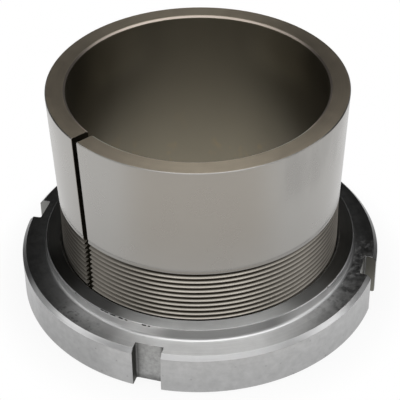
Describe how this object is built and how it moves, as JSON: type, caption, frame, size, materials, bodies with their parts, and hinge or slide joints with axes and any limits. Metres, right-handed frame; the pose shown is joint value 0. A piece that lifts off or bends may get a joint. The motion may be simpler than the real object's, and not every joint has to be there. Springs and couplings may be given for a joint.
{
  "type": "adapter sleeve with lock nut",
  "caption": "Split steel adapter sleeve with a tapered seat, a plain shaft bore and a fine thread that carries a slotted lock nut; it clamps a taper-bore bearing on a plain shaft.",
  "frame": {"origin": "middle of the lock nut's bottom face, on the axis of the bore", "axes": "+Z along the bore towards the sleeve's large end; the nut's spanner slots face +X, +Y, -X and -Y"},
  "size_m": [0.1296, 0.1296, 0.0826],
  "materials": {
    "sleeve_steel": "fine turned, warm grey",
    "nut_steel": "turned faces, matt outside"
  },
  "bodies": {
    "sleeve": {"sleeve": "sleeve_steel"},
    "nut": {"lock_nut": "nut_steel"}
  },
  "joints": [
    {"name": "nut_turn", "type": "hinge", "parent": "sleeve", "child": "nut", "pos_m": [0, 0, 0.01], "axis": [0, 0, 1], "continuous": true}
  ]
}
